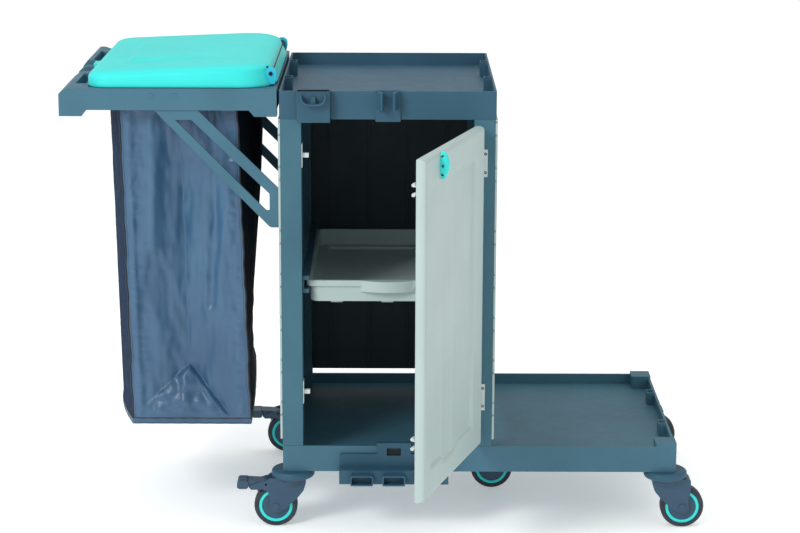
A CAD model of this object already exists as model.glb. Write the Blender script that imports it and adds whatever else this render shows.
import math

import bmesh
import bpy
from mathutils import Matrix, Vector, noise


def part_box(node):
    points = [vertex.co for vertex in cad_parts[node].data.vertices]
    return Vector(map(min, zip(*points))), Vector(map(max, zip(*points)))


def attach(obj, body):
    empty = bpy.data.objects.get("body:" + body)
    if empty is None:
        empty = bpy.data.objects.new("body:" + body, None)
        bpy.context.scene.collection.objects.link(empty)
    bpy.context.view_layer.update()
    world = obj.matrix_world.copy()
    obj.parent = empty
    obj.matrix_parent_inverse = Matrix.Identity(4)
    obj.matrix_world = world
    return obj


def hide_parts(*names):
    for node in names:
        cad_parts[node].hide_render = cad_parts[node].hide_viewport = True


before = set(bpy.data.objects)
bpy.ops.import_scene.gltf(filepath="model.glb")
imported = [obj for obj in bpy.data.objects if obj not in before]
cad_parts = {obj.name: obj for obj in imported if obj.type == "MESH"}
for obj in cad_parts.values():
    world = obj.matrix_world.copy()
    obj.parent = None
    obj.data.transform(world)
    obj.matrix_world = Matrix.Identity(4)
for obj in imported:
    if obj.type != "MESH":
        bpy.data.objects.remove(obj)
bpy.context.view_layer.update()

# ---------------------------------------------------------------- places
# Sizes below are in millimetres from the deck's front left corner: x along the
# cart, y from the door side to the back, z up from the floor.

MM = 0.001
DECK_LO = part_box("deck")[0]


def at(x, y, z):
    return Vector((DECK_LO.x + x * MM, DECK_LO.y + y * MM, z * MM))


def of_node(node):
    lo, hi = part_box(node)
    shift = Vector((DECK_LO.x, DECK_LO.y, 0))
    return (lo - shift) / MM, (hi - shift) / MM


def ramp(v, lo, hi):
    t = min(max((v - lo) / (hi - lo), 0.0), 1.0)
    return t * t * (3 - 2 * t)


# ---------------------------------------------------------------- finishes


def linear(r, g, b):
    return tuple(
        c / 12.92 if c <= 0.04045 else ((c + 0.055) / 1.055) ** 2.4
        for c in (r / 255, g / 255, b / 255)
    )


class Finish:
    """A procedural material, built node by node on Object coordinates."""

    def __init__(self, name):
        self.material = bpy.data.materials.new(name)
        self.material.use_nodes = True
        self.tree = self.material.node_tree
        self.shader = self.tree.nodes["Principled BSDF"]
        self.place = self.tree.nodes.new("ShaderNodeTexCoord").outputs["Object"]

    def node(self, kind, links=(), **values):
        made = self.tree.nodes.new(kind)
        for key, value in values.items():
            if key in made.inputs:
                made.inputs[key].default_value = value
            else:
                setattr(made, key, value)
        for socket, source in links:
            self.tree.links.new(source, made.inputs[socket])
        return made

    def stretched(self, scale):
        return self.node("ShaderNodeMapping", [("Vector", self.place)], Scale=scale).outputs[0]

    def noise(self, scale, detail=3.0, rough=0.5, place=None):
        made = self.node("ShaderNodeTexNoise", [("Vector", place or self.place)])
        made.inputs["Scale"].default_value = scale
        made.inputs["Detail"].default_value = detail
        made.inputs["Roughness"].default_value = rough
        return made.outputs["Fac"]

    def between(self, source, lo, hi, out_lo=0.0, out_hi=1.0):
        made = self.node("ShaderNodeMapRange", [("Value", source)])
        for key, value in zip(("From Min", "From Max", "To Min", "To Max"), (lo, hi, out_lo, out_hi)):
            made.inputs[key].default_value = value
        return made.outputs[0]

    def maths(self, operation, a, b):
        made = self.node("ShaderNodeMath", operation=operation)
        for i, v in enumerate((a, b)):
            if isinstance(v, (int, float)):
                made.inputs[i].default_value = v
            else:
                self.tree.links.new(v, made.inputs[i])
        return made.outputs[0]

    def mix(self, amount, a, b):
        made = self.node("ShaderNodeMix", data_type="RGBA")
        for key, v in ((0, amount), (6, a), (7, b)):
            if isinstance(v, tuple):
                made.inputs[key].default_value = (*v, 1.0)
            else:
                self.tree.links.new(v, made.inputs[key])
        return made.outputs[2]

    def bump(self, height, strength, distance, over=None):
        links = [("Height", height)] + ([("Normal", over)] if over else [])
        made = self.node("ShaderNodeBump", links, Strength=strength, Distance=distance)
        return made.outputs[0]

    def give(self, **sockets):
        for key, v in sockets.items():
            name = key.replace("_", " ")
            if isinstance(v, (int, float)):
                self.shader.inputs[name].default_value = v
            elif isinstance(v, tuple):
                self.shader.inputs[name].default_value = (*v, 1.0)
            else:
                self.tree.links.new(v, self.shader.inputs[name])
        return self.material


def moulded(name, colour, rough=0.5, grain=0.00010, cloud=0.07, scuff=0.10, level=0.5):
    """Moulded plastic: spark-eroded grain, faint flow clouds, a few rubbed streaks."""
    f = Finish(name)
    dark = tuple(c * (1 - cloud) for c in colour)
    light = tuple(min(c * (1 + cloud) + 0.004, 1.0) for c in colour)
    rubbed = tuple(min(c * 1.25 + 0.05, 1.0) for c in colour)
    clouds = f.between(f.noise(7.0, 4.0), 0.3, 0.7)
    streaks = f.noise(40.0, 6.0, 0.7, f.stretched((1.0, 1.0, 0.16)))
    speck = f.noise(260.0, 2.0)
    worn = f.maths("MULTIPLY", f.between(streaks, 0.60, 0.80, 0.0, scuff), f.between(speck, 0.35, 0.7))
    base = f.mix(worn, f.mix(clouds, dark, light), rubbed)
    f.give(Base_Color=base, Roughness=f.between(streaks, 0.25, 0.75, rough - 0.05, rough + 0.07))
    f.give(Specular_IOR_Level=level)
    fine = f.bump(f.noise(1500.0, 2.0, 0.6), 0.5, grain)
    f.give(Normal=f.bump(f.noise(22.0, 2.0), 0.10, 0.0012, fine))
    return f.material


def metal(name, colour, rough=0.32):
    f = Finish(name)
    brushed = f.noise(900.0, 3.0, 0.6, f.stretched((1.0, 0.06, 1.0)))
    spots = f.noise(60.0, 4.0)
    dull = tuple(c * 0.72 for c in colour)
    f.give(Base_Color=f.mix(f.between(spots, 0.35, 0.75), colour, dull), Metallic=1.0)
    f.give(Roughness=f.between(brushed, 0.3, 0.7, rough - 0.08, rough + 0.12))
    f.give(Normal=f.bump(brushed, 0.25, 0.00008))
    return f.material


def rubber(name, colour):
    f = Finish(name)
    dust = f.between(f.noise(34.0, 5.0, 0.65), 0.42, 0.78)
    grey = tuple(c * 1.6 + 0.02 for c in colour)
    f.give(Base_Color=f.mix(dust, colour, grey), Roughness=f.between(dust, 0.0, 1.0, 0.5, 0.75))
    f.give(Specular_IOR_Level=0.35, Normal=f.bump(f.noise(900.0, 3.0), 0.5, 0.00015))
    return f.material


def woven(name, colour, pale, rough=0.36, sheen=0.25, crumple=0.0022, weave=0.45, level=0.55):
    """Coated nylon: a fine plain weave under a shiny coat, with small crumples."""
    f = Finish(name)
    parts = f.node("ShaderNodeSeparateXYZ", [("Vector", f.place)]).outputs
    across = f.maths("ADD", parts["X"], parts["Y"])
    warp = f.maths("SINE", f.maths("MULTIPLY", across, 5200.0), 0.0)
    weft = f.maths("SINE", f.maths("MULTIPLY", parts["Z"], 5200.0), 0.0)
    cloth = f.maths("MULTIPLY", warp, weft)
    tall = f.stretched((1.0, 1.0, 0.38))
    folds = f.noise(17.0, 5.0, 0.55, tall)
    small = f.noise(62.0, 4.0, 0.6, f.stretched((1.0, 1.0, 0.7)))
    shade = f.between(f.noise(9.0, 3.0, 0.5, tall), 0.33, 0.68)
    f.give(Base_Color=f.mix(shade, colour, pale))
    f.give(Roughness=f.between(small, 0.3, 0.7, rough - 0.05, rough + 0.10))
    f.give(Sheen_Weight=sheen, Sheen_Roughness=0.4, Specular_IOR_Level=level)
    soft = f.bump(folds, 0.55, crumple * 4)
    soft = f.bump(small, 0.42, crumple, soft)
    f.give(Normal=f.bump(cloth, weave, 0.00005, soft))
    return f.material


SLATE = moulded("slate_plastic", linear(60, 102, 120), 0.52, level=0.3)
SLATE_POST = moulded("slate_plastic_posts", linear(57, 100, 116), 0.52, level=0.3)
SLATE_DEEP = moulded("slate_plastic_shaded", linear(44, 83, 103), 0.50, level=0.3)
SAGE = moulded("slate_plastic_floor", linear(52, 88, 94), 0.60, 0.00018, level=0.3)
CYAN = moulded("cyan_plastic", linear(50, 214, 209), 0.45, 0.00004, 0.03, 0.0, level=0.3)
CYAN_DEEP = moulded("cyan_plastic_deep", linear(36, 186, 214), 0.40, 0.00004, 0.03, 0.02, level=0.3)
PALE = moulded("pale_plastic", linear(168, 185, 183), 0.48, 0.00008, 0.025, 0.05, level=0.35)
WHITE = moulded("white_plastic", linear(196, 206, 206), 0.42, 0.00005, 0.02, 0.04)
DARK = moulded("dark_panel", linear(34, 48, 54), 0.55, 0.00010, 0.06, 0.06, level=0.3)
FORK = moulded("fork_plastic", linear(48, 76, 98), 0.42, 0.00010, 0.06, 0.10, level=0.35)
BLACK = moulded("black_trim", linear(14, 18, 23), 0.5, 0.00006, 0.05, 0.06, level=0.3)
TYRE = rubber("tyre_rubber", linear(34, 42, 52))
STEEL = metal("steel", (0.62, 0.64, 0.66))
NYLON = woven("bag_nylon", linear(46, 80, 112), linear(58, 96, 127), 0.36, 0.0, 0.0008)
NAVY = woven("bag_side_cloth", linear(20, 38, 62), linear(28, 48, 74), 0.75, 0.0, 0.0006, level=0.05)
NAVY_DEEP = woven("bag_side_cloth_deep", linear(9, 18, 29), linear(14, 26, 38), 0.75, 0.0, 0.0006, level=0.05)
PIPING = woven("bag_piping", linear(8, 10, 15), linear(16, 20, 28), 0.6, 0.1, 0.0004)
THREAD = woven("bag_thread", linear(20, 30, 44), linear(40, 54, 70), 0.6, 0.1, 0.0002)

# ---------------------------------------------------------------- making pieces


def piece(name, mesh, body, material, stands_for=()):
    made = bpy.data.objects.new(name, mesh)
    bpy.context.scene.collection.objects.link(made)
    mesh.materials.clear()
    for m in material if isinstance(material, (list, tuple)) else [material]:
        mesh.materials.append(m)
    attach(made, body)
    if stands_for:
        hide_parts(*stands_for)
    return made


def settle(obj, weighted=True):
    """Applies the object's modifiers and leaves a plain mesh."""
    if weighted:
        obj.modifiers.new("even", "WEIGHTED_NORMAL").keep_sharp = True
    solid = bpy.data.meshes.new_from_object(
        obj.evaluated_get(bpy.context.evaluated_depsgraph_get())
    )
    solid.name = obj.name
    obj.modifiers.clear()
    obj.data = solid
    return obj


def crease(bm, angle=40):
    limit = math.radians(angle)
    for f in bm.faces:
        f.smooth = True
    for e in bm.edges:
        e.smooth = len(e.link_faces) != 2 or e.calc_face_angle(0.0) < limit


def finish_mesh(bm, name, angle=40):
    bmesh.ops.recalc_face_normals(bm, faces=bm.faces)
    crease(bm, angle)
    mesh = bpy.data.meshes.new(name)
    bm.to_mesh(mesh)
    bm.free()
    return mesh


def rounded(bm, width, segments=2, angle=28):
    """Rounds the edges that are long enough to take the radius."""
    w = width * MM
    limit = math.radians(angle)
    chosen = [
        e
        for e in bm.edges
        if len(e.link_faces) == 2
        and e.calc_length() > 2.3 * w
        and e.calc_face_angle(0.0) > limit
    ]
    if chosen:
        bmesh.ops.bevel(
            bm, geom=chosen, offset=w, segments=segments, profile=0.5, affect="EDGES",
            clamp_overlap=True, loop_slide=True,
        )


def from_cad(node, body, material, width=1.2, segments=2, choose=None):
    """The CAD node's shape with moulded, rounded edges.

    choose(x, y, z, normal) picks each face's material by number.
    """
    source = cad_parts[node]
    bm = bmesh.new()
    bm.from_mesh(source.data)
    bmesh.ops.remove_doubles(bm, verts=bm.verts, dist=0.00001)
    bmesh.ops.dissolve_limit(
        bm, angle_limit=math.radians(0.7), verts=bm.verts, edges=bm.edges, delimit={"NORMAL"}
    )
    rounded(bm, width, segments)
    bmesh.ops.triangulate(bm, faces=[f for f in bm.faces if len(f.verts) > 4])
    if choose:
        for f in bm.faces:
            c = f.calc_center_median()
            f.material_index = choose((c.x - DECK_LO.x) / MM, (c.y - DECK_LO.y) / MM, c.z / MM, f.normal)
    mesh = finish_mesh(bm, node + "_moulded")
    made = piece(node + "_moulded", mesh, body, material, (node,))
    return settle(made)


def sheet_of(rows, close_u=False, flip=False):
    """A mesh through rows of points."""
    bm = bmesh.new()
    vs = [[bm.verts.new(p) for p in row] for row in rows]
    nv, nu = len(vs), len(vs[0])
    for j in range(nv - 1):
        for i in range(nu if close_u else nu - 1):
            k = (i + 1) % nu
            q = [vs[j][i], vs[j][k], vs[j + 1][k], vs[j + 1][i]]
            bm.faces.new(q[::-1] if flip else q)
    return bm


def sweep(path, radius, sides, closed=False):
    """A tube along a path of points, closed into a ring or at its ends."""
    bm = bmesh.new()
    n = len(path)
    rings = []
    for i, p in enumerate(path):
        a = path[(i - 1) % n] if closed or i else p
        b = path[(i + 1) % n] if closed or i < n - 1 else p
        along = (b - a).normalized()
        side = along.cross(Vector((0, 0, 1)))
        if side.length < 0.2:
            side = along.cross(Vector((0, 1, 0)))
        side.normalize()
        up = side.cross(along).normalized()
        rings.append(
            [
                bm.verts.new(p + (side * math.cos(t) + up * math.sin(t)) * radius * MM)
                for t in (2 * math.pi * k / sides for k in range(sides))
            ]
        )
    for j in range(n if closed else n - 1):
        for k in range(sides):
            a, b = rings[j], rings[(j + 1) % n]
            bm.faces.new((a[k], a[(k + 1) % sides], b[(k + 1) % sides], b[k]))
    if not closed:
        bm.faces.new(rings[0])
        bm.faces.new(rings[-1])
    return bm


def prism(outline, lo, hi, axis="y", radius=0.8, segments=2):
    """An outline made thick along an axis, with rounded edges.

    Its points are (x, z), (x, y) or (y, z), whichever two the axis leaves.
    """
    spot = {
        "y": lambda p, t: at(p[0], t, p[1]),
        "z": lambda p, t: at(p[0], p[1], t),
        "x": lambda p, t: at(t, p[0], p[1]),
    }[axis]
    bm = bmesh.new()
    ends = [[bm.verts.new(spot(p, t)) for p in outline] for t in (lo, hi)]
    n = len(outline)
    bm.faces.new(ends[0])
    bm.faces.new(ends[1])
    for i in range(n):
        bm.faces.new((ends[0][i], ends[0][(i + 1) % n], ends[1][(i + 1) % n], ends[1][i]))
    bmesh.ops.recalc_face_normals(bm, faces=bm.faces)
    rounded(bm, radius, segments)
    return bm


def arc(cx, cy, r, a, b, n=10):
    return [
        (
            cx + r * math.cos(math.radians(a + (b - a) * i / n)),
            cy + r * math.sin(math.radians(a + (b - a) * i / n)),
        )
        for i in range(n + 1)
    ]


def closed_pair(front, back):
    """Two grids of points of one size, joined round their rims."""
    bm = bmesh.new()
    rims = []
    for rows in (front, back):
        vs = [[bm.verts.new(p) for p in row] for row in rows]
        for j in range(len(vs) - 1):
            for i in range(len(vs[0]) - 1):
                bm.faces.new((vs[j][i], vs[j][i + 1], vs[j + 1][i + 1], vs[j + 1][i]))
        right, left = [r[-1] for r in vs[1:]], [r[0] for r in vs[-2:0:-1]]
        rims.append(vs[0] + right + vs[-1][-2::-1] + left)
    a, b = rims
    for i in range(len(a)):
        k = (i + 1) % len(a)
        bm.faces.new((a[i], a[k], b[k], b[i]))
    return bm


def join(parts):
    """One bmesh from several."""
    whole = parts[0]
    for extra in parts[1:]:
        mesh = bpy.data.meshes.new("part")
        extra.to_mesh(mesh)
        extra.free()
        whole.from_mesh(mesh)
        bpy.data.meshes.remove(mesh)
    return whole


# ---------------------------------------------------------------- camera, light, floor


def look():
    data = bpy.data.cameras.new("camera")
    made = bpy.data.objects.new("camera", data)
    bpy.context.scene.collection.objects.link(made)
    data.sensor_width = 36.0
    data.lens = 101.142
    pitch, yaw, roll = math.radians(13.4), math.radians(0.1), math.radians(0.2)
    ahead = Vector((math.sin(yaw) * math.cos(pitch), math.cos(yaw) * math.cos(pitch), -math.sin(pitch)))
    side = Vector((math.cos(yaw), -math.sin(yaw), 0))
    up = side.cross(ahead)
    side2 = side * math.cos(roll) + up * math.sin(roll)
    up2 = up * math.cos(roll) - side * math.sin(roll)
    turn = Matrix((side2, up2, -ahead)).transposed()
    made.matrix_world = Matrix.Translation(at(259.0, -4925.0, 1796.2)) @ turn.to_4x4()
    bpy.context.scene.camera = made


def lamp(name, place, aim, size, power):
    data = bpy.data.lights.new(name, "AREA")
    data.shape = "RECTANGLE"
    data.size, data.size_y = size
    data.energy = power
    made = bpy.data.objects.new(name, data)
    bpy.context.scene.collection.objects.link(made)
    made.matrix_world = Matrix.Translation(place) @ (
        (Vector(aim) - Vector(place)).to_track_quat("-Z", "Y").to_matrix().to_4x4()
    )


def studio():
    world = bpy.data.worlds.new("studio")
    bpy.context.scene.world = world
    world.use_nodes = True
    world.node_tree.nodes["Background"].inputs[0].default_value = (0.985, 0.985, 0.985, 1)
    world.node_tree.nodes["Background"].inputs[1].default_value = 0.72
    lamp("key", (-2.6, -3.2, 3.2), (0, 0, 0.6), (1.4, 1.4), 108)
    lamp("fill", (3.2, -3.0, 1.8), (0, 0, 0.6), (2.4, 2.4), 17)
    lamp("top", (0.3, 0.8, 4.2), (0, 0, 0.8), (3.0, 2.2), 26)
    f = Finish("floor")
    f.give(Base_Color=f.mix(f.between(f.noise(0.6), 0.3, 0.7), (0.93, 0.945, 0.945), (0.95, 0.96, 0.96)))
    f.give(Roughness=0.6, Specular_IOR_Level=0.3, Emission_Strength=0.34)
    f.give(Emission_Color=(0.97, 1.0, 1.0))
    bm = sheet_of([[Vector((x * 2.0, y * 2.0, 0)) for x in range(-8, 9)] for y in range(-8, 9)])
    mesh = finish_mesh(bm, "studio_floor")
    made = bpy.data.objects.new("studio_floor", mesh)
    bpy.context.scene.collection.objects.link(made)
    mesh.materials.append(f.material)
    bpy.context.scene.view_settings.view_transform = "Standard"


# ---------------------------------------------------------------- what repeats


class Repeat:
    """A Geometry Nodes tree with named sizes, ending in real geometry and a finish."""

    def __init__(self, name, sizes):
        self.tree = bpy.data.node_groups.new(name, "GeometryNodeTree")
        face = self.tree.interface
        face.new_socket("Geometry", in_out="INPUT", socket_type="NodeSocketGeometry")
        face.new_socket("Geometry", in_out="OUTPUT", socket_type="NodeSocketGeometry")
        for key, value in sizes.items():
            face.new_socket(key, in_out="INPUT", socket_type="NodeSocketFloat").default_value = value
        face.new_socket("Finish", in_out="INPUT", socket_type="NodeSocketMaterial")
        self.start = self.tree.nodes.new("NodeGroupInput").outputs

    def node(self, kind, links=(), **values):
        made = self.tree.nodes.new(kind)
        for key, value in values.items():
            setattr(made, key, value)
        for socket, source in links:
            if isinstance(source, (int, float, str, tuple)):
                made.inputs[socket].default_value = source
            else:
                self.tree.links.new(source, made.inputs[socket])
        return made.outputs

    def turned(self, vector):
        return self.node("FunctionNodeAlignRotationToVector", [("Vector", vector)], axis="Z")[0]

    def close(self, points, shape, turn):
        laid = self.node(
            "GeometryNodeInstanceOnPoints", [("Points", points), ("Instance", shape), ("Rotation", turn)]
        )[0]
        real = self.node("GeometryNodeRealizeInstances", [("Geometry", laid)])[0]
        coat = [("Geometry", real), ("Material", self.start["Finish"])]
        done = self.node("GeometryNodeSetMaterial", coat)[0]
        self.tree.links.new(done, self.tree.nodes.new("NodeGroupOutput").inputs[0])
        return self.tree


def screw_tree():
    t = Repeat("screws", {"Head radius": 0.004, "Head height": 0.002, "Recess width": 0.001})
    r, h, w = (t.start[k] for k in ("Head radius", "Head height", "Recess width"))
    head = t.node(
        "GeometryNodeMeshCylinder", [("Vertices", 28), ("Radius", r), ("Depth", h)]
    )["Mesh"]
    long_side = t.node("ShaderNodeMath", [(0, r), (1, 1.15)], operation="MULTIPLY")[0]
    cuts = []
    for order in ((long_side, w), (w, long_side)):
        size = t.node("ShaderNodeCombineXYZ", [("X", order[0]), ("Y", order[1]), ("Z", h)])[0]
        cuts.append(t.node("GeometryNodeMeshCube", [("Size", size)])["Mesh"])
    lift = t.node("ShaderNodeMath", [(0, h), (1, 0.5)], operation="MULTIPLY")[0]
    up = t.node("ShaderNodeCombineXYZ", [("Z", lift)])[0]
    made = head
    for cut in cuts:
        raised = t.node("GeometryNodeTransform", [("Geometry", cut), ("Translation", up)])[0]
        pair = [("Mesh 1", made), ("Mesh 2", raised)]
        made = t.node("GeometryNodeMeshBoolean", pair, operation="DIFFERENCE")[0]
    aim = t.node("GeometryNodeInputNamedAttribute", [("Name", "aim")], data_type="FLOAT_VECTOR")[0]
    return t.close(t.start["Geometry"], made, t.turned(aim))


def stitch_tree():
    t = Repeat("stitches", {"Pitch": 0.006, "Length": 0.004, "Thickness": 0.0005})
    line = t.node("GeometryNodeMeshToCurve", [("Mesh", t.start["Geometry"])])[0]
    pitch = [("Curve", line), ("Length", t.start["Pitch"])]
    spaced = t.node("GeometryNodeResampleCurve", pitch, mode="LENGTH")
    thread = t.node(
        "GeometryNodeMeshCylinder",
        [("Vertices", 6), ("Radius", t.start["Thickness"]), ("Depth", t.start["Length"])],
    )["Mesh"]
    along = t.node("GeometryNodeInputTangent")[0]
    return t.close(spaced[0], thread, t.turned(along))


def grown(name, tree, mesh, body, slot, material, **sizes):
    """The tree's result on a mesh of points or lines, as one plain piece."""
    made = bpy.data.objects.new(name, mesh)
    bpy.context.scene.collection.objects.link(made)
    step = made.modifiers.new("repeat", "NODES")
    step.node_group = tree
    wanted = {k.replace("_", " "): v for k, v in sizes.items()}
    wanted["Finish"] = material
    for item in tree.interface.items_tree:
        if item.in_out == "INPUT" and item.name in wanted:
            step[item.identifier] = wanted[item.name]
    solid = bpy.data.meshes.new_from_object(made.evaluated_get(bpy.context.evaluated_depsgraph_get()))
    solid.name = name
    made.modifiers.clear()
    made.data = solid
    solid.materials.clear()
    solid.materials.append(material)
    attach(made, body)
    return made


def spots(name, places):
    """A mesh of loose points, each with the way it faces."""
    mesh = bpy.data.meshes.new(name)
    mesh.from_pydata([p for p, way in places], [], [])
    aim = mesh.attributes.new("aim", "FLOAT_VECTOR", "POINT")
    for i, (p, way) in enumerate(places):
        aim.data[i].vector = way
    return mesh


def lines(name, paths):
    points, edges = [], []
    for path in paths:
        first = len(points)
        points += path
        edges += [(first + i, first + i + 1) for i in range(len(path) - 1)]
    mesh = bpy.data.meshes.new(name)
    mesh.from_pydata(points, edges, [])
    return mesh


SCREWS = screw_tree()
STITCHES = stitch_tree()


def lathe(profile, centre, axis, sides=48):
    """A turned shape: profile points are (radius, distance along the axis)."""
    axis = axis.normalized()
    side = axis.cross(Vector((0, 0, 1))).normalized()
    up = side.cross(axis)
    rows = [
        [
            centre + (side * math.cos(a) + up * math.sin(a)) * r * MM + axis * h * MM
            for a in (2 * math.pi * k / sides for k in range(sides))
        ]
        for r, h in profile
    ]
    bm = sheet_of(rows, close_u=True)
    bm.verts.ensure_lookup_table()
    bm.faces.new(bm.verts[:sides])
    bm.faces.new(bm.verts[-sides:])
    return bm


def islands(node):
    """The middle of each separate solid in a node."""
    bm = bmesh.new()
    bm.from_mesh(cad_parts[node].data)
    bmesh.ops.remove_doubles(bm, verts=bm.verts, dist=0.00001)
    left, found = set(bm.verts), []
    while left:
        todo, seen = [left.pop()], []
        while todo:
            v = todo.pop()
            seen.append(v.co.copy())
            for e in v.link_edges:
                w = e.other_vert(v)
                if w in left:
                    left.discard(w)
                    todo.append(w)
        lo = Vector([min(c[k] for c in seen) for k in range(3)])
        hi = Vector([max(c[k] for c in seen) for k in range(3)])
        found.append((lo, hi))
    bm.free()
    return found


# ---------------------------------------------------------------- body of the cart


def deck_and_cabinet():
    def floor_of(node, depth):
        """Picks the second material for faces that look up, this far or more under the node's top."""
        height = of_node(node)[1].z - depth
        return lambda x, y, z, n: 1 if n.z > 0.9 and z < height else 0

    from_cad("deck", "chassis", [SLATE, SAGE], 1.6, 3, choose=floor_of("deck", 23))
    for corner in ("front_left", "front_right"):
        from_cad("post_" + corner, "chassis", SLATE_POST, 1.4, 2)
    for corner in ("rear_left", "rear_right"):
        from_cad("post_" + corner, "chassis", SLATE_DEEP, 1.4, 2)
    for side in ("left", "right"):
        from_cad("side_panel_" + side, "chassis", PALE, 0.8, 2)
    from_cad("back_panel", "chassis", DARK, 0.8, 2)
    tray_floor = floor_of("top_tray", 16)
    from_cad("top_tray", "chassis", [SLATE_DEEP, SAGE], 1.6, 3, choose=tray_floor)
    from_cad("bag_frame", "chassis", SLATE, 1.8, 3)
    from_cad("lid_hinge_rod", "chassis", BLACK, 0.6, 2)
    for end in ("front", "rear"):
        from_cad("brace_" + end, "chassis", SLATE, 1.2, 2)
    from_cad("spring_clip", "chassis", SLATE_DEEP, 0.9, 3)
    from_cad("tool_holder", "chassis", SLATE_DEEP, 1.2, 3)
    for node in ("door_pegs", "hinge_bracket_lower", "hinge_bracket_upper"):
        from_cad(node, "chassis", WHITE, 0.5, 2)
    for side in ("left", "right"):
        from_cad("drawer_runner_" + side, "chassis", SLATE_DEEP, 0.7, 2)
    from_cad("door_claws", "door", WHITE, 0.4, 2)
    from_cad("lock_core", "lock", STEEL, 0.3, 2)
    from_cad("lock_cam", "lock", STEEL, 0.4, 2)
    from_cad("drawer", "drawer", PALE, 1.1, 3)

    heads = []
    for lo, hi in islands("tray_screws"):
        heads.append((Vector(((lo.x + hi.x) / 2, (lo.y + hi.y) / 2, hi.z - 0.001)), Vector((0, 0, 1))))
    tray = grown(
        "tray_screw_heads", SCREWS, spots("tray_screw_heads", heads), "chassis", "steel", STEEL,
        Head_radius=0.0052, Head_height=0.002, Recess_width=0.0013,
    )
    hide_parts("tray_screws")
    fixings = []
    for node in ("hinge_bracket_lower", "hinge_bracket_upper"):
        lo, hi = of_node(node)
        for z in (lo.z + 10, hi.z - 10):
            fixings.append((at(hi.x - 5, hi.y - 1.6, z), Vector((0, -1, 0))))
    grown(
        "hinge_screw_heads", SCREWS, spots("hinge_screw_heads", fixings), "chassis", "steel", BLACK,
        Head_radius=0.0034, Head_height=0.0012, Recess_width=0.0009,
    )


def hook_and_holder():
    lo, hi = of_node("hook_plate")
    mid, top, out = (lo.x + hi.x) / 2, hi.z - 3, lo.y
    low = of_node("top_tray")[0].z - 5
    parts = [
        prism(
            [(lo.x, low), (hi.x, low), (hi.x, top + 3), (lo.x, top + 3)], out + 18, 0.0, "y", 1.2, 3
        ),
        prism([(out + 18, top), (13, top), (13, top + 3), (out + 18, top + 3)], lo.x, hi.x, "x", 1.0, 2),
        prism([(9, top - 14), (13, top - 14), (13, top + 3), (9, top + 3)], lo.x, hi.x, "x", 0.8, 2),
    ]
    bowl = arc(mid - 9, top - 8, 20, 168, 270, 16) + arc(mid + 9, top - 8, 20, 270, 372, 16)
    hollow = arc(mid + 9, top - 8, 16, 372, 270, 16) + arc(mid - 9, top - 8, 16, 270, 168, 16)
    parts.append(prism(bowl + hollow, out, out + 20, "y", 1.1, 3))
    rib = [(mid - 7, top - 30), (mid + 7, top - 30), (mid + 4, top - 8), (mid - 4, top - 8)]
    parts.append(prism(rib, out + 8, out + 20, "y", 1.0, 2))
    made = piece(
        "hook_plate_moulded", finish_mesh(join(parts), "hook_plate"), "chassis",
        SLATE_DEEP, ("hook_plate",),
    )
    settle(made)
    lo, hi = of_node("tool_holder")
    mid = (lo.x + hi.x) / 2
    arm_drop = 23
    arm = of_node("deck")[1].z - arm_drop
    left, right, low, high = mid - 15.6, mid + 15.6, arm - 10.6, arm + 7.6
    panel = [(left, low), (right, low), (right, high), (left, high)]
    dark = prism(panel, -2.0, -0.4, "y", 0.3, 1)
    piece("tool_holder_backing", finish_mesh(dark, "backing"), "chassis", BLACK)


# ---------------------------------------------------------------- door

HINGE = (447.0, -14.0)
DOOR_ANGLE = math.radians(71.5)


def on_door(s, d, z):
    """A point s out from the hinge axis, d proud of the door's middle plane towards the outside."""
    c, k = math.cos(DOOR_ANGLE), math.sin(DOOR_ANGLE)
    return at(HINGE[0] - s * c + d * k, HINGE[1] - s * k - d * c, z)


def stops(lo, hi, marks, fine=1.4, coarse=9.0, reach=15.0):
    """Spacings that close up round the marks."""
    got, v = [lo], lo
    while v < hi - fine:
        near = min(abs(v - m) for m in marks)
        v += fine if near < reach else coarse
        got.append(min(v, hi))
    got[-1] = hi
    return got


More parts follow.
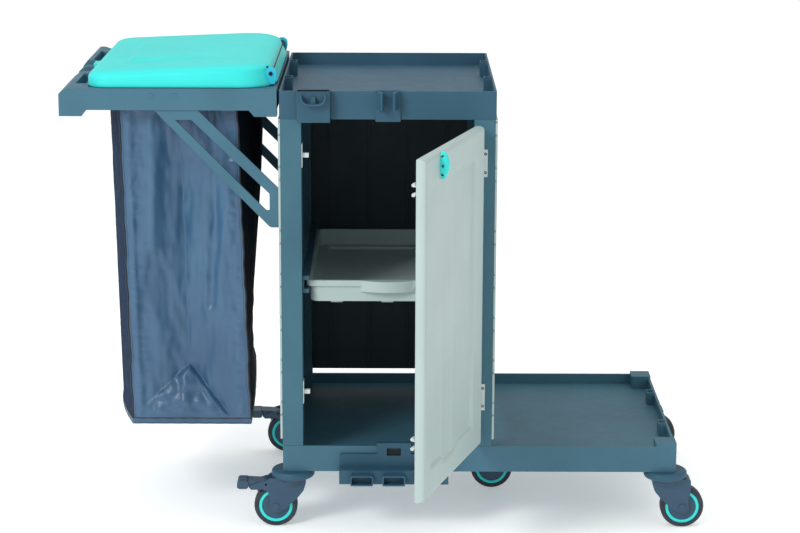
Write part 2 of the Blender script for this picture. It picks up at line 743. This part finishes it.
def door():
    z0, z1 = of_node("door")[0].z, of_node("door")[1].z
    s0, s1, half = 10.0, 436.0, 11.0
    lock_s, lock_z = 330.0, z1 - 29

    def edge_round(e, r):
        return r - math.sqrt(max(r * r - max(r - e, 0.0) ** 2, 0.0))

    def field(s, z):
        side = min(ramp(s - 80, 0, 10), ramp(391 - s, 0, 10))
        tongue = ramp(s, 192, 213) * ramp(309 - s, 0, 10)
        bottom = 270 - 14 * tongue
        return side * min(ramp(z - bottom, 0, 9), ramp(888 - z, 0, 9))

    def outer(s, z):
        e_top, e_free = min(z - z0, z1 - z), s1 - s
        drop = max(edge_round(e_top, 10.5), edge_round(e_free, 9.0), edge_round(s - s0, 5.0))
        flutes = 1.5 * (math.exp(-((s - 219) / 16) ** 2) + math.exp(-((s - 296) / 16) ** 2))
        lip_line = 1.6 * math.exp(-(((s1 - 9 - s) / 1.7) ** 2))
        return half - drop - lip_line - 6.5 * field(s, z) + flutes * field(s, z)

    def pocket(s, z, a, b, lo, hi):
        return min(ramp(s - a, 0, 2.5), ramp(b - s, 0, 2.5), ramp(z - lo, 0, 2.5), ramp(hi - z, 0, 2.5))

    def inner(s, z):
        hollow = max(
            pocket(s, z, lock_s + 22, 424, z0 + 12, z1 - 12),
            pocket(s, z, 28, lock_s - 22, z0 + 12, z1 - 12),
            pocket(s, z, lock_s - 30, lock_s + 30, z0 + 12, lock_z - 40),
        )
        drop = max(edge_round(min(z - z0, z1 - z, s1 - s, s - s0), 2.0), 0.0)
        return -half + drop + 15.0 * hollow

    ss = stops(s0, s1, (s0, 28, 84, 203, 305, lock_s - 22, lock_s + 22, 387, 424, s1))
    zs = stops(z0, z1, (z0, z0 + 12, 262, 274, lock_z - 40, 884, z1 - 12, z1))
    rows_out = [[on_door(s, outer(s, z), z) for s in ss] for z in zs]
    rows_in = [[on_door(s, inner(s, z), z) for s in ss] for z in zs]
    parts = [closed_pair(rows_out, rows_in)]
    brackets = of_node("hinge_bracket_lower"), of_node("hinge_bracket_upper")
    for box_lo, box_hi in brackets:
        mid = (box_lo.z + box_hi.z) / 2
        profile = [(0.01, -15), (7.6, -15), (8.4, -14.2), (8.4, 14.2), (7.6, 15), (0.01, 15)]
        parts.append(lathe(profile, on_door(0, 0, mid), Vector((0, 0.001, 1)), 32))
        web = bmesh.new()
        corners = [(2, -6.5), (13, -6.5), (13, 6.5), (2, 6.5)]
        ends = [[web.verts.new(on_door(s, d, mid + k)) for s, d in corners] for k in (-14.6, 14.6)]
        web.faces.new(ends[0])
        web.faces.new(ends[1])
        for i in range(4):
            web.faces.new((ends[0][i], ends[0][(i + 1) % 4], ends[1][(i + 1) % 4], ends[1][i]))
        rounded(web, 1.0, 2)
        parts.append(web)
    mesh = finish_mesh(join(parts), "door_moulded", 50)
    settle(piece("door_moulded", mesh, "door", PALE, ("door",)), False)

    # Lens-shaped plate round the lock
    def bulge(t):
        return math.sqrt(44.0 ** 2 - t * t) - 26.0

    def half_width(t):
        return max(math.sqrt(43.2 ** 2 - t * t) - 31.2, 0.25)

    def crowned(u, t):
        return bulge(t) * (1 - 0.42 * abs(u) ** 3.2)

    heights = [-29.6 + 59.2 * j / 48 for j in range(49)]
    across = [-1 + 2 * i / 20 for i in range(21)]
    face = [
        [on_door(lock_s - u * half_width(t), half + crowned(u, t) - 0.4, lock_z + t) for u in across]
        for t in heights
    ]
    base = [[on_door(lock_s - u * half_width(t), half - 0.6, lock_z + t) for u in across] for t in heights]
    bm = closed_pair(face, base)
    shell = finish_mesh(bm, "lock_plate", 45)
    plate = piece("lock_plate_moulded", shell, "door", CYAN, ("lock_plate",))
    settle(plate, False)
    way = on_door(0.9, 0.45, 0) - on_door(0, 0, 0)
    heads = ((7.6, 5.0, -19), (12, 7.5, 0), (7.6, 5.0, 19))
    places = [(on_door(lock_s + w, half + d, lock_z + t), way) for w, d, t in heads]
    grown(
        "lock_screw_heads", SCREWS, spots("lock_screw_heads", places), "door", "steel", BLACK,
        Head_radius=0.0032, Head_height=0.0014, Recess_width=0.0009,
    )


# ---------------------------------------------------------------- casters


def casters():
    from_cad("caster_bumpers", "chassis", SLATE_DEEP, 0.8, 2)
    from_cad("caster_stems", "chassis", STEEL, 0.6, 2)
    for corner in ("front_left", "front_right", "rear_left", "rear_right", "centre"):
        swivel, wheel = "caster_" + corner, "wheel_" + corner
        from_cad("fork_" + corner, swivel, FORK, 1.8, 3)
        from_cad("axle_" + corner, swivel, FORK, 0.9, 3)
        from_cad("tyre_" + corner, wheel, TYRE, 0.6, 2)
        from_cad("hub_" + corner, wheel, FORK, 0.6, 2)
        from_cad("ring_" + corner, wheel, CYAN, 0.4, 2)
    for corner in ("front_left", "rear_left"):
        from_cad("pedal_" + corner, "brake_" + corner, FORK, 1.6, 3)


# ---------------------------------------------------------------- lid


def lid():
    lo, hi = of_node("lid")
    rod_lo, rod_hi = of_node("lid_hinge_rod")
    axis_x, axis_z = (rod_lo.x + rod_hi.x) / 2, (rod_lo.z + rod_hi.z) / 2
    tab_reach, lip, lift = 24.0, 26.0, 4.0
    low, high, free_r, hinge_r = 36.0, 54.0, 48.0, 82.0
    hinge_lean, ear_in, ear_w, ear_r = 13.0, 45.0, 12.0, 13.0
    x0, x1, y0, y1, z0 = lo.x + tab_reach, hi.x, lo.y, hi.y, lo.z
    mid_x, mid_y = (x0 + x1) / 2, (y0 + y1) / 2

    def raised(x, y):
        inside = ramp(y - y0, 134, 144) * ramp(y1 - y, 118, 128)
        return 5.0 * inside * ramp(x - (x0 + 78), 0, 11) * (1 - ramp(x, x0 + 90, x1 - 80))

    def top(x, y):
        u, v = (x - mid_x) / (x1 - x0) * 2, (y - mid_y) / (y1 - y0) * 2
        slope = low + (high - low) * min(max((x - x0) / (x1 - x0), 0), 1)
        return slope - 1.5 + 3.0 * (1 - u * u) * (1 - v * v) + raised(x, y)

    def outline(inset, lean=0.0, n=10):
        a, b = max(free_r - inset, 4.0), max(hinge_r - inset, 4.0)
        xa, xb, ya, yb = x0 + inset, x1 - inset * 1.7 - lean, y0 + inset, y1 - inset
        corners = [(xb - b, ya + b, -90, b), (xb - b, yb - b, 0, b)]
        corners += [(xa + a, yb - a, 90, a), (xa + a, ya + a, 180, a)]
        pts = []
        for k, (cx, cy, start, r) in enumerate(corners):
            pts += arc(cx, cy, r, start, start + 90, n)
            nx, ny, s2, r2 = corners[(k + 1) % 4]
            ax, ay = pts[-1]
            bx, by = arc(nx, ny, r2, s2, s2 + 90, 1)[0]
            m = 24 if k % 2 == 0 else 16
            pts += [(ax + (bx - ax) * i / m, ay + (by - ay) * i / m) for i in range(1, m)]
        return pts

    def foot(x, z):
        return max(z, lift * ramp(x, axis_x, axis_x + 3) + z * 0.3)

    rows = [[at(x, y, z0 + foot(x, z)) for x, y in outline(0.6 if z < 1 else 0.0)] for z in (0.0, 2.0, 7.0)]
    steps = 10
    for s in range(steps + 1):
        t = math.radians(90 * s / steps)
        inset, drop = lip * (1 - math.cos(t)), 17.0 * (1 - math.sin(t))
        rows.append([at(x, y, z0 + top(x, y) - drop) for x, y in outline(inset, hinge_lean)])
    rim = outline(lip, hinge_lean)
    reach = (y1 - y0) * 0.30
    spine = [(min(max(x, x0 + reach), x1 - reach), min(max(y, mid_y - 100), mid_y + 100)) for x, y in rim]
    inner = 34
    for s in range(1, inner + 1):
        k = s / inner
        row = []
        for (x, y), (sx, sy) in zip(rim, spine):
            px, py = x + (sx - x) * k, y + (sy - y) * k
            row.append(at(px, py, z0 + top(px, py)))
        rows.append(row)
    bm = sheet_of(rows, close_u=True)
    bmesh.ops.remove_doubles(bm, verts=bm.verts, dist=0.00005)
    holes = [e for e in bm.edges if len(e.link_faces) == 1 and e.verts[0].co.z > (z0 + 20) * MM]
    if holes:
        bmesh.ops.holes_fill(bm, edges=holes, sides=0)
    bmesh.ops.recalc_face_normals(bm, faces=bm.faces)
    slot_rise = 14
    slot_from, slot_to = ear_in + ear_w, ear_in + 2 * ear_w
    slots = [(slot_from, slot_to), (y0 + y1 - slot_to, y0 + y1 - slot_from)]
    cuts = [(at(0, y, 0), Vector((0, 1, 0))) for pair in slots for y in pair]
    cuts.append((at(0, 0, axis_z + slot_rise), Vector((0, 0, 1))))
    cuts.append((at(axis_x - ear_r, 0, 0), Vector((1, 0, 0))))
    for place, way in cuts:
        bmesh.ops.bisect_plane(
            bm, geom=bm.verts[:] + bm.edges[:] + bm.faces[:], dist=0.000001, plane_co=place, plane_no=way
        )
    inside = []
    for f in bm.faces:
        c = f.calc_center_median()
        y = (c.y - DECK_LO.y) / MM
        at_lug = any(lo_y < y < hi_y for lo_y, hi_y in slots)
        if at_lug and c.x > at(axis_x - ear_r, 0, 0).x and c.z < (axis_z + slot_rise) * MM:
            inside.append(f)
    bmesh.ops.delete(bm, geom=inside, context="FACES")
    crease(bm, 60)
    mesh = bpy.data.meshes.new("lid_shell")
    bm.to_mesh(mesh)
    bm.free()
    shell = piece("lid_shell", mesh, "lid", CYAN, ("lid",))
    wall = shell.modifiers.new("wall", "SOLIDIFY")
    wall.thickness, wall.offset = 0.003, -1.0
    settle(shell, False)
    parts, pins = [], []
    for y in (ear_in, y0 + y1 - ear_in - ear_w):
        ring = arc(axis_x, axis_z, ear_r, 0, 180, 18)
        foot_line = [(axis_x - ear_r, z0 + lift), (axis_x + 9, z0 + lift), (axis_x + ear_r, axis_z - 8)]
        parts.append(prism(ring + foot_line, y, y + ear_w, "y", 1.6, 3))
    for y, way in ((ear_in, -1), (y0 + y1 - ear_in, 1)):
        profile = [(0.01, -1), (4.6, -1), (4.6, 3.0), (3.9, 3.7), (0.01, 3.7)]
        pins.append(lathe(profile, at(axis_x, y, axis_z), Vector((0, way, 0)), 28))
    mesh = finish_mesh(join(parts), "lid_ears")
    settle(piece("lid_ears", mesh, "lid", CYAN_DEEP))
    piece("lid_pin_ends", finish_mesh(join(pins), "lid_pins"), "chassis", BLACK)
    ty = mid_y + 41.5
    tab = arc(x0 - 14, ty + 16, 10, 90, 180, 8) + arc(x0 - 14, ty - 16, 10, 180, 270, 8)
    bm = prism(tab + [(x0 + 3, ty - 26), (x0 + 3, ty + 26)], z0 + 1, z0 + 8, "z", 2.0, 3)
    settle(piece("lid_finger_tab", finish_mesh(bm, "lid_tab"), "lid", CYAN))


# ---------------------------------------------------------------- bag


def fold(x, z, line, width, depth):
    """A soft ridge or valley along a line of (x, z) points."""
    best = 1e9
    for (ax, az), (bx, bz) in zip(line, line[1:]):
        dx, dz = bx - ax, bz - az
        t = min(max(((x - ax) * dx + (z - az) * dz) / (dx * dx + dz * dz), 0.0), 1.0)
        best = min(best, math.hypot(x - ax - dx * t, z - az - dz * t))
    return depth * math.exp(-((best / width) ** 2))


def bag():
    top_z, hem_z = 1003.0, 250.0
    seam_high, seam_low = 969, 240
    y_front, y_back = 46.0, 569.0

    def left_seam(z):
        return -362 + (z - seam_high) / (seam_low - seam_high) * 15

    def right_seam(z):
        t = (seam_high - z) / (seam_high - seam_low)
        return -97.6 + 22.6 * t

    def back_right(z):
        return -80 - 24 * ramp(seam_high - z, 0, 669) + 8 * (1 - ramp(z, seam_low, 290))

    fold_top, fold_low = (-232.0, top_z), (-217.0, 372.0)
    ridge = [(-285, top_z), (-291, 830), (-297, 660)]
    right_fold = [(-160, top_z), (-152, 870), (-151, 700), (-163, 520)]

    def fold_x(z):
        return fold_low[0] + (fold_top[0] - fold_low[0]) * (z - fold_low[1]) / (fold_top[1] - fold_low[1])

    def dent(x, z):
        """How far the cloth stands forward: two slanted panels meet in a valley, with a flat gusset below."""
        off = x - fold_x(z)
        reach = 118.0 if off < 0 else 104.0
        depth = 46.0 * (0.45 + 0.55 * ramp(top_z - z, 0, 260))
        panel = -depth * max(1 - abs(off) / reach, 0.0) ** 1.25
        leg = fold_low[1] - abs(x - fold_low[0]) * (0.86 if x < fold_low[0] else 1.25)
        gusset = ramp(leg - z, -3, 9)
        v = panel * (1 - gusset) + gusset * (-30.0 * ramp(z, 262, 372) + 3.0)
        v += fold(x, z, ridge, 19.0, 11.0) * (1 - gusset)
        v += fold(x, z, right_fold, 13.0, -11.0)
        v += 6.0 * math.exp(-(((x - left_seam(z) - 17) / 10) ** 2))
        v += noise.noise(Vector((x / 34, z / 120, 3.0))) * 7.0
        v += noise.noise(Vector((x / 14, z / 40, 7.0))) * 2.4
        near_left = math.exp(-(((x - left_seam(z) - 20) / 24) ** 2))
        near_seam = near_left + math.exp(-(((x - right_seam(z) + 16) / 18) ** 2))
        v += noise.noise(Vector((x / 26, z / 13, 15.0))) * 3.0 * near_seam
        v += noise.noise(Vector((x / 24, z / 20, 11.0))) * (0.8 + 5.0 * gusset)
        return v

    def hold(u, v):
        return ramp(u, 0.0, 0.09) * ramp(1 - u, 0.0, 0.09) * (1 - ramp(v, 0.975, 1.0)) * ramp(v, 0, 0.03)

    def front(u, v):
        z = top_z + (hem_z - top_z) * v
        a, b = left_seam(z), right_seam(z)
        x = a + (b - a) * u
        belly = -5.0 * math.sin(math.pi * u) * ramp(v, 0.02, 0.5)
        return at(x, y_front + max(belly - dent(x, z), -30.0) * hold(u, v), z)

    def back(u, v):
        z = top_z + (hem_z - top_z) * v
        a, b = left_seam(z), back_right(z)
        x = a + (b - a) * u
        swell = 4.0 * math.sin(math.pi * u) + noise.noise(Vector((x / 30, z / 90, 21.0))) * 8
        return at(x, y_back + (swell + noise.noise(Vector((x / 12, z / 26, 25.0))) * 2) * hold(u, v), z)

    def bow(u):
        return math.sin(math.pi * u) ** 0.9

    def side_place(which, u, z):
        y = y_front + (y_back - y_front) * u
        if which < 0:
            seam, far = left_seam(z), -49.0 * bow(u)
        else:
            ends = right_seam(z) + (back_right(z) - right_seam(z)) * u
            wanted = -59 - 31 * ramp(seam_high - z, 40, 690) + 5 * (1 - ramp(z, seam_low, 300))
            mid = (right_seam(z) + back_right(z)) / 2
            seam, far = ends, max(wanted - mid, 4.0) * bow(u)
        return seam + far, y

    def side_cloth(which):
        def point(u, v):
            z = top_z + (hem_z - top_z) * v
            x, y = side_place(which, u, z)
            soft = bow(u) * ramp(v, 0, 0.06) * (1 - ramp(v, 0.96, 1.0))
            wave = noise.noise(Vector((y / 42, z / 130, 31.0 + which))) * 8
            wave += noise.noise(Vector((y / 16, z / 34, 35.0 + which))) * 2.4
            return at(x - which * (abs(wave) * 0.6 + 1) * soft, y, z)

        return point

    def cloth(name, shape, nu, nv, material, flip=False):
        rows = [[shape(i / nu, j / nv) for i in range(nu + 1)] for j in range(nv + 1)]
        bm = sheet_of(rows, flip=flip)
        area = sum(f.calc_area() for f in bm.faces)
        mesh = bpy.data.meshes.new(name)
        crease(bm, 80)
        bm.to_mesh(mesh)
        bm.free()
        made = piece(name, mesh, "chassis", material, ("bag",))
        thick = made.modifiers.new("cloth", "SOLIDIFY")
        thick.thickness, thick.offset = 0.0009, 0.0
        settle(made, False)

    cloth("bag_front_cloth", front, 150, 300, NYLON)
    cloth("bag_back_cloth", back, 80, 150, NYLON, True)
    cloth("bag_left_side", side_cloth(-1), 90, 100, NAVY, True)
    cloth("bag_right_side", side_cloth(1), 90, 100, NAVY_DEEP)

    def floor_cloth(u, v):
        a, y = side_place(-1, v, hem_z)
        b, y = side_place(1, v, hem_z)
        sag = math.sin(math.pi * u) * math.sin(math.pi * v)
        return at(a + (b - a) * u, y, hem_z - 9.0 * sag ** 0.5 + 0.8 * math.sin(u * 25) * sag)

    cloth("bag_bottom_cloth", floor_cloth, 60, 100, NYLON, True)

    def round_hem(z, n=60):
        """The bag's outline at a height: front, right side, back, left side."""
        a, b, c = left_seam(z), right_seam(z), back_right(z)
        pts = [(a + (b - a) * i / n, y_front) for i in range(n)]
        pts += [side_place(1, i / n, z) for i in range(n)]
        pts += [(c + (a - c) * i / n, y_back) for i in range(n)]
        pts += [side_place(-1, 1 - i / n, z) for i in range(n)]
        return pts

    mid_x, mid_y = -220, 307
    rows = []
    for k, (z, out) in enumerate(((hem_z + 1, 0.6), (hem_z - 2, 1.3), (hem_z - 8, 1.1), (hem_z - 13, 0.2))):
        ring = []
        for i, (x, y) in enumerate(round_hem(z)):
            cx, cy = x - mid_x, y - mid_y
            far = max(math.hypot(cx, cy), 1.0)
            ripple = 0.5 * math.sin(i * 0.9) * (k > 0)
            ring.append(at(x + cx / far * (out + ripple), y + cy / far * (out + ripple), z))
        rows.append(ring)
    bm = sheet_of(rows, close_u=True)
    band = piece("bag_hem_band", finish_mesh(bm, "bag_hem", 60), "chassis", NYLON)
    thick = band.modifiers.new("cloth", "SOLIDIFY")
    thick.thickness, thick.offset = 0.0012, 0.0
    settle(band, False)

    heights = [top_z + (hem_z - top_z) * j / 150 for j in range(151)]

    def wobble(z):
        return 0.9 * math.sin(z * 0.05) + 0.6 * math.sin(z * 0.13)

    seams = []
    ahead, behind = y_front - 0.6, y_back + 0.6
    corners = (left_seam, ahead), (right_seam, ahead), (left_seam, behind), (back_right, behind)
    for seam, y in corners:
        seams.append(sweep([at(seam(z) + wobble(z), y, z) for z in heights], 1.9, 8))
    hem = [at(x, y, hem_z) for x, y in round_hem(hem_z)]
    seams.append(sweep(hem, 1.7, 8, closed=True))
    piece("bag_piping", finish_mesh(join(seams), "bag_piping", 50), "chassis", PIPING)

    rows_of_thread = []
    for seam, inward in ((left_seam, 1), (right_seam, -1)):
        rows_of_thread.append([at(seam(z) + wobble(z) + inward * 5.5, y_front - 1.0, z) for z in heights])
    for z in (hem_z - 4, hem_z - 10):
        ring = round_hem(z)
        rows_of_thread.append([at(x + (x - mid_x) * 0.008, y + (y - mid_y) * 0.008, z) for x, y in ring])
    grown(
        "bag_stitches", STITCHES, lines("bag_stitches", rows_of_thread), "chassis", "bag_nylon", THREAD,
        Pitch=0.0062, Length=0.0042, Thickness=0.00045,
    )

    # cuff that folds over the frame's ledge
    lo, hi = of_node("bag")
    cx, cy = (lo.x + hi.x) / 2, (lo.y + hi.y) / 2
    hx, hy = (hi.x - lo.x) / 2 - 1.5, (hi.y - lo.y) / 2 - 1.5

    def cuff(u, v):
        k = min(int(u * 4), 3)
        t = u * 4 - k
        corner = [(-1, -1), (1, -1), (1, 1), (-1, 1), (-1, -1)]
        (ax, ay), (bx, by) = corner[k], corner[k + 1]
        px, py = ax + (bx - ax) * t, ay + (by - ay) * t
        z = hi.z - 0.5 - 6 * ramp(v, 0.5, 1.0) + 0.5 * math.sin(u * 160)
        return at(cx + px * hx * (1 - v * 24 / hx), cy + py * hy * (1 - v * 8 / hy), z)

    rows = [[cuff(i / 240, j / 8) for i in range(240)] for j in range(9)]
    turned = finish_mesh(sheet_of(rows, close_u=True), "bag_cuff", 60)
    made = piece("bag_cuff", turned, "chassis", PIPING)
    thick = made.modifiers.new("cloth", "SOLIDIFY")
    thick.thickness, thick.offset = 0.0012, 0.0
    settle(made, False)


look()
studio()
deck_and_cabinet()
hook_and_holder()
door()
casters()
lid()
bag()
